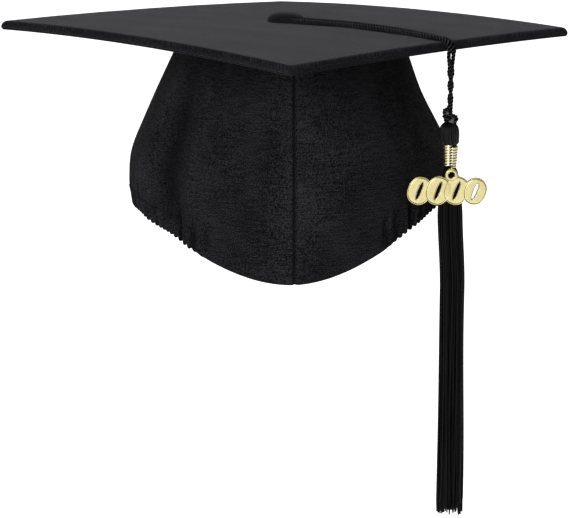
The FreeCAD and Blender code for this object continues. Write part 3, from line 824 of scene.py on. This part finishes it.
def build_crown():
    """Lining over the crown inside, its binding tape and the stitches through both."""
    turns = full_turn(240)
    rows, cloth = [], []
    for share in np.linspace(1.0, 0.02, 34):
        x = LINING_WIDTH * share * np.sin(turns) + CAP_SHIFT
        y = -(LINING_WIDTH + LENGTH_EXTRA) * share * np.cos(turns)
        puff = 0.35 * np.sin(x * 0.13 + 1) * np.sin(y * 0.10) + 0.35
        pucker = 0.25 * np.sin(turns * 70) * smoothstep(share, 0.8, 1.0)
        rows.append(np.stack([x, y, (puff + pucker) * 0.8], 1))
        cloth.append(np.stack([x, y, 0 * x], 1))
    both = rows + [row + UP * LINING_THICK for row in reversed(rows)]
    lining = Shape()
    lining.add(both, sheet_faces(len(both), len(turns), wrap=True, loop=True), cloth + cloth[::-1])
    lining.build("crown_lining_cloth", ["crown_lining"], CLOTH_LINING, "cap")

    tape = Shape()
    closed = np.linspace(0, 2 * math.pi, 361)
    path = oval_point(CROWN_WIDTH, closed, 0.9)
    add_tube(tape, path, 0.85 + 0.05 * np.sin(closed * 90), 10, caps=False)
    tape.build("crown_binding_tape", ["crown_binding"], CLOTH_CAP, "cap")

    threads = Shape()
    along = np.linspace(-0.5, 0.5, 5)
    for turn in full_turn(CROWN_STITCHES):
        turns = turn + along * STITCH_LONG / LINING_WIDTH
        add_tube(threads, oval_point(LINING_WIDTH - 3.0, turns, 0.5 * np.abs(along) - 0.12), 0.2, 5)
    threads.build("crown_stitch_line", ["crown_stitches"], THREAD, "cap")


# ---- button
BUTTON_R = 11.2
BUTTON_RIM = 0.45  # height of the rim above the board
BUTTON_RISE = 6.2
BUTTON_WALL = 0.7
BUTTON_Y = -4.5
BUTTON_Z = BOARD_Z + board_bow(0, BUTTON_Y)
PLATE_Z = 3.6
NECK_R = 1.5
NUT_Z = -BOARD_THICK - 0.1
# Profiles are (radius, height above the board).
COVER_LIP = ((BUTTON_R + 0.02, 0.2), (BUTTON_R - 0.35, 0.02), (BUTTON_R - BUTTON_WALL, 0.15))
BACK_PROFILE = ((0.4, PLATE_Z), (5.4, PLATE_Z), (5.6, PLATE_Z - 0.2), (5.4, PLATE_Z - 0.4),
                (NECK_R + 0.4, PLATE_Z - 0.4), (NECK_R, PLATE_Z - 0.8), (NECK_R, 0.1), (0.4, 0.1))
RIVET_PROFILE = ((0.3, 4.2), (2.4, 4.1), (2.6, 3.7), (1.2, 3.6), (1.2, -6.1), (0.7, -6.4), (0.3, -6.5))
NUT_PROFILE = ((1.3, NUT_Z), (4.8, NUT_Z), (5.0, NUT_Z - 0.15), (5.0, NUT_Z - 0.35), (3.2, NUT_Z - 0.5),
               (2.0, NUT_Z - 0.7), (1.3, NUT_Z - 0.6))


def button_dome(shrink):
    """Side of the domed button from its top to its rim."""
    radius, rise = BUTTON_R - shrink, BUTTON_RISE - shrink
    angles = np.linspace(0.02, math.pi / 2, 22)
    return [(radius * math.sin(a) ** 0.92, rise * math.cos(a) ** 0.8 + BUTTON_RIM) for a in angles]


def build_turned(name, node, profile, count, material=STEEL, gather=0.0, start=0):
    """Piece turned about the button's axis. Its rings from start on are gathered into small tucks."""
    turns = full_turn(count)
    rows, cloth = [], []
    for i, (radius, height) in enumerate(profile):
        tucked = gather * np.sin(turns * 19 + 0.7 * np.sin(turns * 5)) * smoothstep(i, start, start + 6)
        x, y = (radius + tucked) * np.cos(turns), (radius + tucked) * np.sin(turns) + BUTTON_Y
        rows.append(np.stack([x, y, BUTTON_Z + height + 0 * x], 1))
    for travel in arc_lengths(profile):
        cloth.append(np.stack([travel * np.cos(turns), travel * np.sin(turns), 0 * turns], 1))
    shape = Shape()
    shape.add(rows, [face[::-1] for face in tube_faces(len(rows), count)], cloth)
    shape.build(name, [node], material, "cap")


def build_button():
    """Covered button: a soft cloth dome tucked under its rim, over a metal shell, a back plate and a neck."""
    cover = [*button_dome(0.0), *COVER_LIP, *button_dome(BUTTON_WALL)[::-1]]
    build_turned("button_cover_cloth", "button_cloth", cover, 96, CLOTH_TOP, gather=0.12,
                 start=16)
    shell = button_dome(BUTTON_WALL + 0.1) + button_dome(BUTTON_WALL + 0.5)[::-1]
    build_turned("button_shell_dome", "button_shell", shell, 64)
    build_turned("button_back_plate", "button_back", BACK_PROFILE, 48)
    build_turned("button_rivet_pin", "button_rivet", RIVET_PROFILE, 48)
    build_turned("push_nut_washer", "push_nut", NUT_PROFILE, 64)


# ---- cord
FOLD = joint_place("cord_fold")
KNOT = joint_place("tassel_sway")
AZIMUTH = math.atan2(FOLD[1], FOLD[0])
OUT = np.array([*direction(AZIMUTH), 0.0])
ALONG = np.cross(UP, OUT)
HANG_R = float(np.hypot(FOLD[0], FOLD[1]))
CORD_R = 1.62
LIE = CORD_R * 0.93  # height of the cord's middle over the cloth
DROP_SHIFT = RIGHT * -0.8
CORD_STEP = 0.3
# For each leg: its spread at the button and near the edge, its lift, and where the spread has calmed
LEGS = {-1: (9.9, 2.5, 0.0, 82), 1: (5.8, 1.9, 0.6, 58)}
LEG_STOPS = (-2, 2, 7, 13, 20, 30, 42, 55, 70, 85, 100, 110)
EDGE = HANG_R - 3.4
OVER_EDGE = (  # out from the edge, half the legs' distance apart, height over the board's edge
    (-5.0, 1.2, LIE + 0.1), (-1.6, 1.35, LIE - 0.15), (1.2, 1.55, -0.2), (2.9, 1.8, -1.9), (3.6, 2.1, -4.6))
BELOW_EDGE = ((2.3, 4.0), (2.15, 7.0), (1.3, 10.5))  # half their distance apart, depth below the fold
LOOP_STOPS = ((-5.2, 5.4), (-7.4, 2.4), (-7.9, -2.0), (-6.2, -7.0))
TWIST_TOP = 12.5  # depth below the fold where the legs start to wind round each other
TWIST_ANGLE = 8.7  # how far they wind


def at(radial, along, z):
    return OUT * radial + ALONG * along + UP * z


def on_board(radial, along, lift):
    """Point above the board's cloth."""
    flat = at(radial, along, 0)
    return flat + UP * (BOARD_Z + board_bow(flat[0], flat[1]) + lift)


def cord_leg(side):
    """One leg from the button's rim, across the board, over its edge and down to the knot."""
    start, near, lift, calm = LEGS[side]
    points = []
    for radial in LEG_STOPS:
        spread = near + (start - near) * (1 - smoothstep(radial, -8, calm)) ** 1.25
        wander = 0.3 * math.sin(radial * 0.09 + 0.4)
        height = LIE + lift * smoothstep(radial, 20, 50) * (1 - smoothstep(radial, 85, 112))
        points.append(on_board(radial, side * spread + wander, height))
    edge_z = on_board(EDGE, 0, 0)[2]
    points += [at(EDGE + out, side * half, edge_z + z) + DROP_SHIFT * 0.5 for out, half, z in OVER_EDGE]
    points += [at(HANG_R, side * half, FOLD[2] - drop) + DROP_SHIFT for half, drop in BELOW_EDGE]
    for t in np.linspace(0, 1, 12):
        height = (FOLD[2] - TWIST_TOP) * (1 - t) + (KNOT[2] + 2.2) * t
        swing = OUT * math.sin(t * TWIST_ANGLE) + ALONG * math.cos(t * TWIST_ANGLE)
        points.append(at(HANG_R, 0, height) + swing * side * (1.12 - 0.22 * t) + DROP_SHIFT)
    return points


def build_cord():
    """Twisted cord: loop round the button's neck, two legs side by side, and the drop to the knot."""
    shape = Shape()
    loop = [on_board(radial, along, LIE) for radial, along in LOOP_STOPS]
    whole = smooth_path(cord_leg(1)[::-1] + loop + cord_leg(-1), CORD_STEP, 2)
    below = FOLD[2] - whole[:, 2]
    slim = 1 - 0.22 * smoothstep(below, 0, 5) - 0.12 * smoothstep(below, 12, 26)
    add_rope(shape, whole, CORD_R, slim)
    cord = shape.build("twisted_cord", ["cord_on_board", "cord_drop"], CORD)
    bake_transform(cord)


def trefoil(size, tall, centre, tilt):
    """Closed overhand knot about a centre, leaning by a tilt in radians."""
    t = np.linspace(0, 2 * math.pi, 220)
    x = (np.sin(t) + 2 * np.sin(2 * t)) * size
    y = -np.sin(3 * t) * size * 1.5
    z = (np.cos(t) - 2 * np.cos(2 * t)) * size * tall
    leaning = [x * math.cos(tilt) + z * math.sin(tilt), y, z * math.cos(tilt) - x * math.sin(tilt)]
    return resample(np.stack(leaning, 1) + centre, CORD_STEP)


def add_heart(shape, centre, radius):
    """Rounded filling inside a knot, so that no light shows through it."""
    lift = np.linspace(-1, 1, 13)
    path = centre + np.outer(lift * radius, UP)
    add_tube(shape, path, radius * np.sqrt(np.clip(1 - (lift * 0.97) ** 2, 0.03, 1)), 12)


def build_knot():
    """Two overhand knots of the doubled cord: a small one above and a larger one that sits on the head."""
    shape = Shape()
    base = np.array([KNOT[0], KNOT[1], 0.0]) + DROP_SHIFT
    top = base + UP * KNOT[2]
    upper = top - UP * 2.4 - RIGHT * 1.7
    lower = top - UP * 6.8 + RIGHT * 0.9
    add_rope(shape, trefoil(0.74, 1.25, upper, 0.5), 1.2)
    add_rope(shape, trefoil(1.15, 0.85, lower, -0.35), 1.3)
    add_heart(shape, upper, 1.6)
    add_heart(shape, lower, 2.5)
    for side in (-RIGHT, RIGHT):
        along = ALONG * side[0]
        lead = [top + UP * 3.2 + along * 0.75, top + UP * 1.0 + side * 0.8,
                upper + side * 1.5 + UP * 0.6, upper - side * 0.6 - UP * 1.2]
        tail = [upper + side * 1.2, (upper + lower) / 2 + side * 1.7 - UP * 0.3,
                lower + side * 2.4 + np.array([0, -1.2, -1.4]), lower - UP * 3.0]
        add_rope(shape, smooth_path(lead, CORD_STEP), 1.05)
        add_rope(shape, smooth_path(tail, CORD_STEP), 1.1)
    shape.build("cord_knot_rope", ["cord_knot"], CORD, "knot")


# ---- tassel
HEAD_TOP = node_top("tassel_head")
HEAD_BOTTOM = node_bottom("tassel_head")
HEAD_TALL = HEAD_TOP - HEAD_BOTTOM
HEAD_SHIFT = RIGHT * -1.5  # the head leans to the left of the coil
HEAD_STRANDS = 58
HEAD_SIDE = (  # share of the head's height from its top, share of its full radius
    (-0.04, 0.22), (0.03, 0.55), (0.14, 0.85), (0.32, 0.99), (0.55, 1.02), (0.76, 0.98), (0.92, 0.86),
    (1.0, 0.64), (1.06, 0.5))
COIL_TOP_R = 4.0
COIL_LOW_R = 3.15
COIL_SHIFT = -0.6
COIL_WIRE = 0.88
COIL_TURNS = 8
COIL_TOP = HEAD_BOTTOM + 0.5
COIL_LOW = node_bottom("neck_coil") - 2.2
NOTCH = 0.13  # half angle of the small notch where the turns meet at the front
FRINGE_BOTTOM = node_bottom("fringe_strands")
FRINGE_STRANDS = 150
GOLDEN_ANGLE = 2.39996
TASSEL = np.array([KNOT[0], KNOT[1], 0.0])


def around(radius, angle, z):
    """Point at an angle and height about the tassel's axis."""
    return TASSEL + np.array([radius * math.cos(angle), radius * math.sin(angle), z])


def build_head():
    """Folded head: strands that run from the knot over a rounded shoulder into the binding."""
    shape = Shape()
    for i in range(HEAD_STRANDS):
        angle = 2 * math.pi * (i + RNG.uniform(-0.25, 0.25)) / HEAD_STRANDS
        full = 5.2 + RNG.uniform(-0.25, 0.3) + 0.45 * math.sin(angle + 2.2)
        drift = RNG.uniform(-0.12, 0.12)
        points = []
        for share, reach in HEAD_SIDE:
            lean = HEAD_SHIFT * (1 - 0.7 * smoothstep(share, 0.7, 1.0))
            points.append(around(full * reach, angle + drift * share, HEAD_TOP - HEAD_TALL * share) + lean)
        add_tube(shape, smooth_path(points, 0.7, 2), 0.42 + RNG.uniform(-0.04, 0.06), 6)
    shares = np.linspace(0.03, 0.99, 16)
    heart = TASSEL + HEAD_SHIFT * 0.85 + np.outer(HEAD_TOP - HEAD_TALL * shares, UP)
    add_tube(shape, heart, 4.753 * np.sin(math.pi * (shares * 0.86 + 0.12)) ** 0.5, 24)
    shape.build("tassel_head_strands", ["tassel_head"], HEAD_YARN, "tassel")


def build_neck():
    """Bound neck under a close coil of thick gold wire. The turns are notched in a line at the front."""
    neck = Shape()
    path = TASSEL + np.outer(np.linspace(COIL_TOP, COIL_LOW - 2.0, 12), UP)
    add_tube(neck, path, np.linspace(COIL_TOP_R, COIL_LOW_R, 12) - 0.55, 24)
    neck.build("tassel_neck_core", ["tassel_neck"], FRINGE, "tassel")

    coil = Shape()
    turn = np.linspace(0, COIL_TURNS, COIL_TURNS * 90)
    share = turn / COIL_TURNS
    front = -math.pi / 2
    angle = 2 * math.pi * turn + front + 0.25
    reach = COIL_LOW_R + (COIL_TOP_R - COIL_LOW_R) * share
    height = (COIL_LOW + COIL_WIRE) * (1 - share) + (COIL_TOP - COIL_WIRE) * share
    helix = np.stack([COIL_SHIFT + reach * np.cos(angle), reach * np.sin(angle), height], 1)
    from_front = (angle - front - 0.12 + math.pi) % (2 * math.pi) - math.pi
    ends = smoothstep(np.minimum(turn, COIL_TURNS - turn), 0, 0.06)
    wire = COIL_WIRE * (1 - 0.62 * hill(from_front, 0, NOTCH)) * (0.35 + 0.65 * ends)
    add_tube(coil, TASSEL + helix, wire, 12)
    coil.build("neck_coil_wire", ["neck_coil"], GOLD_COIL, "tassel")


def strand_path(ring, angle, end, sway, wave):
    """One strand from the coil to its end. The ring is how far out it lies in the bundle, from 0 to 1."""
    top = COIL_LOW + 1.0
    slim = top - node_bottom("numeral_charm")
    long = top - FRINGE_BOTTOM
    points = [around(2.3 * ring + 0.2, angle, top)]
    for z in np.linspace(top - 3, end, 34):
        down = top - z
        full = smoothstep(down, 0, slim + 6)
        radius = 2.4 + 2.3 * smoothstep(down, 0, 5) + 2.3 * full + 0.8 * smoothstep(down, slim + 60, long)
        lean = 2.3 * smoothstep(down, slim, slim + 50) + 0.7 * smoothstep(down, slim + 50, long)
        bend = wave * math.sin(z * 0.045 + sway) * full
        turned = angle + 0.10 * math.sin(z * 0.02 + sway)
        off = np.array([bend + lean, 0.6 * bend, 0])
        points.append(around(radius * (0.16 + 0.84 * ring), turned, z) + off)
    return points


def build_fringe():
    """Loose strands: slim below the coil, full width below the charm, with uneven ends."""
    shape = Shape()
    for i in range(FRINGE_STRANDS):
        ring = math.sqrt((i + 0.5) / FRINGE_STRANDS)
        angle = i * GOLDEN_ANGLE + RNG.uniform(-0.2, 0.2)
        end = FRINGE_BOTTOM + abs(RNG.normal(0, 1.0)) * 3.2
        if RNG.random() < 0.25:
            end += RNG.uniform(0, 7)
        sway = RNG.uniform(0, 2 * math.pi)
        wave = RNG.uniform(0.05, 0.28)
        points = strand_path(ring, angle, end, sway, wave)
        points[-1] = points[-1] + np.array([*RNG.uniform(-0.5, 0.5, 2), 0])
        add_tube(shape, resample(points, 3.2), 0.43 + RNG.uniform(-0.05, 0.07), 6)
    shape.build("fringe_loose_strands", ["fringe_strands", "fringe_core"], FRINGE, "tassel")


# ---- charm
RING_PLACE = joint_place("charm_swing")
CHARM_LOW, CHARM_HIGH = node_box("numeral_charm")
PLATE = 1.3
EYE_DROP = 3.9  # from the top of the eye to its centre
EYE = np.array([RING_PLACE[0], RING_PLACE[1], CHARM_HIGH[2] - EYE_DROP])
EYE_R = 3.6
EYE_HOLE_R = 1.85
CHARM_SHIFT = -2.2  # the plate hangs to the left of its eye
PLATE_TOP = EYE[2] - 0.7
PLATE_LOW = CHARM_LOW[2] + 1.2
SLANT = math.radians(20)
NUMERAL_HALF = 6.9
SLIT_HALF = 1.0
SPACING = 10.6
NUMERALS = ((0.98, 0.0), (1.0, 0.44), (1.0, 0.18), (0.94, 0.6))  # each zero's size and how far forward it is
GROOVE_DEPTH = 0.2
RIM = (  # inset from the edge, depth below the plate's face: a raised rim and then an engraved line
    (0.0, -0.10), (0.10, -0.26), (0.40, -0.26), (0.46, 0.34), (0.68, 0.38), (0.76, 0.0), (1.2, 0.0))


def oval(half_x, half_z):
    """Loop of a slanted oval with slightly squared shoulders."""
    turns = full_turn(80)
    across, along = np.cos(turns), np.sin(turns)
    x = half_x * np.sign(across) * np.abs(across) ** 0.9
    z = half_z * np.sign(along) * np.abs(along) ** 0.9
    return np.stack([x * math.cos(SLANT) + z * math.sin(SLANT), z * math.cos(SLANT) - x * math.sin(SLANT)], 1)


def add_ring_plate(shape, outer, inner, centre, front, back, rim=1.0):
    """Plate between two loops. A raised rim and an engraved line follow both of its front edges."""
    across = inner - outer
    unit = across / np.linalg.norm(across, axis=1)[:, None]
    outward = [(outer + unit * inset * rim, front + depth) for inset, depth in RIM]
    inward = [(inner - unit * inset * rim * 0.6, front + depth) for inset, depth in reversed(RIM)]
    rows, cloth = [], []
    for loop, y in [(outer, back), *outward, *inward, (inner, back)]:
        rows.append(np.stack([centre[0] + loop[:, 0], np.full(len(loop), y), centre[2] + loop[:, 1]], 1))
        engraved = front + GROOVE_DEPTH < y < back
        cloth.append(np.tile([float(engraved), 0.0, 0.0], (len(loop), 1)))
    shape.add(rows, sheet_faces(len(rows), len(outer), wrap=True, loop=True), cloth)


def build_charm():
    """Slanted zeros that overlap, with raised rims, engraved lines and narrow slits, under a hanging eye."""
    shape = Shape()
    front, back = EYE[1] - PLATE / 2, EYE[1] + PLATE / 2
    half_tall = (PLATE_TOP - PLATE_LOW) / 2
    middle = np.array([(CHARM_LOW[0] + CHARM_HIGH[0]) / 2 + CHARM_SHIFT, EYE[1], (PLATE_TOP + PLATE_LOW) / 2])
    for i, (size, forward) in enumerate(NUMERALS):
        centre = middle + RIGHT * (i - (len(NUMERALS) - 1) / 2) * SPACING - UP * (1 - size) * 6
        outer = oval(NUMERAL_HALF * size, half_tall * size)
        slit = oval(SLIT_HALF, half_tall * size - 3.0)
        add_ring_plate(shape, outer, slit, centre, front - forward, back)
    circle = np.array([direction(turn) for turn in full_turn(64)])
    add_ring_plate(shape, circle * EYE_R, circle * EYE_HOLE_R, EYE, front - 0.5, back - 0.1, rim=0.6)
    charm = shape.build("numeral_charm_plate", ["numeral_charm"], GOLD, "charm")
    bevel = charm.modifiers.new("edges", "BEVEL")
    bevel.width = 0.06 * MM
    bevel.limit_method = "ANGLE"


RING_WIRE = 0.34


def build_ring():
    """Open jump ring of round wire."""
    low, high = node_box("jump_ring")
    radius = (high[2] - low[2]) / 2 - RING_WIRE
    circle = np.array([[0.0, *direction(turn)] for turn in full_turn(60)])
    shape = Shape()
    add_tube(shape, RING_PLACE + radius * circle, RING_WIRE, 12)
    shape.build("jump_ring_wire", ["jump_ring"], GOLD_COIL, "tassel")


# ---- stage, light and camera
WHITE_SEEN = 1.2  # what the camera sees behind the cap
FLOOR_MIRRORED = 0.7  # what metal sees of the floor
FLOOR_HALF = 6.0
FLOOR_BELOW = 0.12
AMBIENT = 0.16


def build_stage():
    """Plain pale floor."""
    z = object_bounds()[0][2] - FLOOR_BELOW
    corners = [(x * FLOOR_HALF, y * FLOOR_HALF, z) for x, y in ((-1, -1), (1, -1), (1, 1), (-1, 1))]
    mesh = bpy.data.meshes.new("floor")
    mesh.from_pydata(corners, [], [(0, 1, 2, 3)])
    floor = new_object("floor", mesh)
    material, look, shader = new_look("pale_floor")
    tone = look.noise(look.place(), 1.5, detail=2.0)
    rays = look.nodes.new("ShaderNodeLightPath").outputs
    light = look.total((rays["Is Camera Ray"], WHITE_SEEN), (rays["Is Glossy Ray"], FLOOR_MIRRORED))
    look.feed(shader, {"Base Color": look.ramp(tone, 0.3, 0.7, (0.78, 0.78, 0.78), (0.82, 0.82, 0.82)),
                       "Roughness": 0.9, "Emission Color": (1, 1, 1, 1), "Emission Strength": light})
    mesh.materials.append(material)


def add_area(name, place, target, size, power):
    """Round soft light. Lengths are in metres."""
    data = bpy.data.lights.new(name, "AREA")
    data.shape = "DISK"
    data.size = size
    data.energy = power
    light = new_object(name, data)
    light.location = place
    light.rotation_euler = (Vector(target) - Vector(place)).to_track_quat("-Z", "Y").to_euler()


def build_lights():
    """Even white world, a large key light in front on the left and a soft one behind."""
    world = bpy.data.worlds.new("studio")
    bpy.context.scene.world = world
    look = Look(world)
    seen = look.nodes.new("ShaderNodeLightPath").outputs["Is Camera Ray"]
    strength = look.math("MULTIPLY_ADD", seen, WHITE_SEEN - AMBIENT, AMBIENT)
    look.feed(look.nodes["Background"], {"Color": (1, 1, 1, 1), "Strength": strength})
    target = (0, 0, -0.05)
    add_area("key", (-0.50, -1.4, 0.40), target, 0.9, 9.6)
    add_area("rear_top", (0.1, 1.3, 0.9), target, 1.4, 2.5)


CAMERA_FAR = 1400.0
CAMERA_PITCH = math.radians(12.136)
CAMERA_ROLL = math.radians(0.167)
CAMERA_TURN = math.radians(1.11)
CAMERA_LENS = 144.28
LOOK_BELOW = 147.28  # the camera's target is this far below the board's top


def build_camera():
    data = bpy.data.cameras.new("camera")
    data.lens = CAMERA_LENS
    data.sensor_width = 36.0
    data.clip_end = 50.0
    camera = new_object("camera", data)
    turn = Matrix.Rotation(-CAMERA_TURN, 4, "Z")
    target = Vector((0, 0, (BOARD_Z - LOOK_BELOW) * MM))
    back = Vector((0, -math.cos(CAMERA_PITCH), math.sin(CAMERA_PITCH))) * CAMERA_FAR * MM
    look = (-back).to_track_quat("-Z", "Y").to_matrix().to_4x4()
    roll = Matrix.Rotation(CAMERA_ROLL, 4, "Z")
    camera.matrix_world = turn @ Matrix.Translation(target + back) @ look @ roll
    bpy.context.scene.camera = camera


bpy.context.scene.view_settings.view_transform = "Standard"
build_board()
build_panels()
build_casing()
build_front_band()
build_crown()
build_button()
build_cord()
build_knot()
build_head()
build_neck()
build_fringe()
build_charm()
build_ring()
build_stage()
build_lights()
build_camera()
